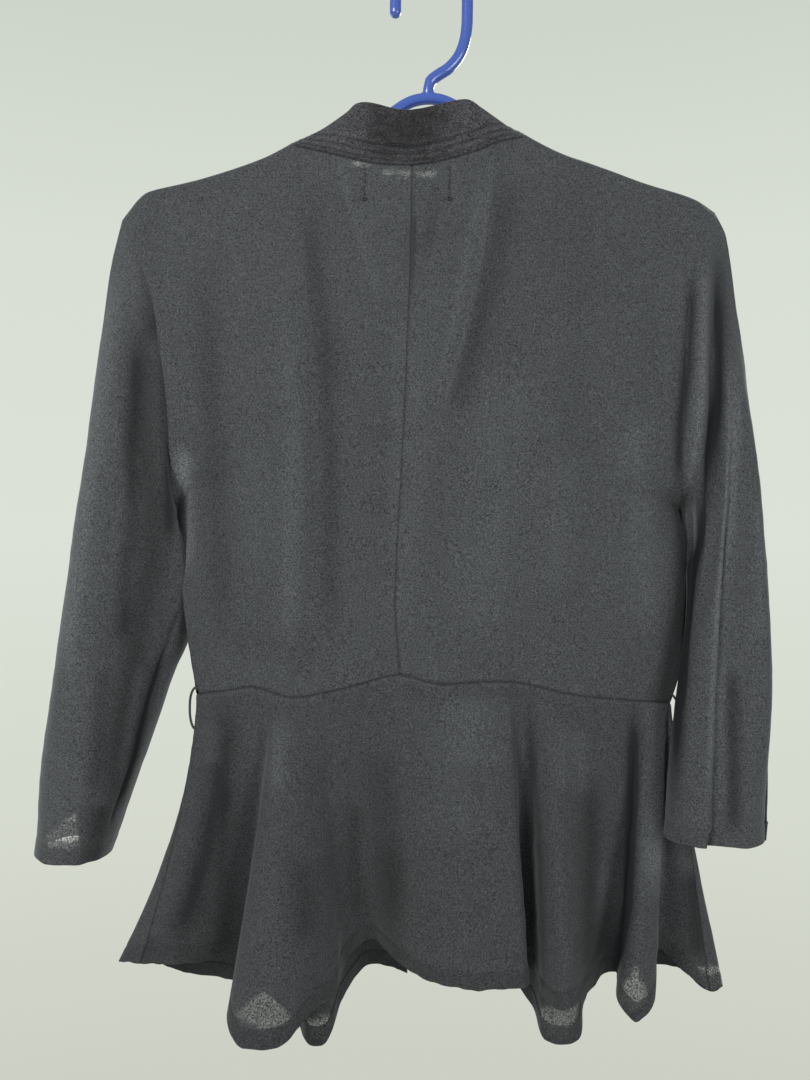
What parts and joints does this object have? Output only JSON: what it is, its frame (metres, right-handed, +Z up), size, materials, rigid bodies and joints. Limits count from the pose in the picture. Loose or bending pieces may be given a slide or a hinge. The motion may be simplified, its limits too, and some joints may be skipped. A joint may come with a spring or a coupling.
{
  "type": "peplum jacket on a hanger",
  "caption": "Collarless peplum jacket of thin black cloth with three-quarter sleeves and a fluted peplum, hung open on a blue plastic tube hanger.",
  "frame": {"origin": "inside top of the hanger's hook, where the hanger rests on a rail or hook", "axes": "+Z up, -Y the way the jacket's front faces, +X toward the wearer's left sleeve"},
  "size_m": [0.5117, 0.1384, 0.7654],
  "materials": {
    "cloth": "matt black crepe, thin and slightly see-through",
    "band_cloth": "matt black crepe, doubled and fused, slightly puckered",
    "thread": "black sewing thread, several strands worked together",
    "blue_plastic": "glossy moulded royal blue"
  },
  "bodies": {
    "root": {"back_left": "cloth", "back_right": "cloth", "front_left": "cloth", "front_right": "cloth", "sleeve_left": "cloth", "sleeve_right": "cloth", "peplum_back": "cloth", "peplum_front_left": "cloth", "peplum_front_right": "cloth", "collar_band": "band_cloth", "belt_loop_left": "thread", "belt_loop_right": "thread", "hanger": "blue_plastic"}
  },
  "joints": []
}
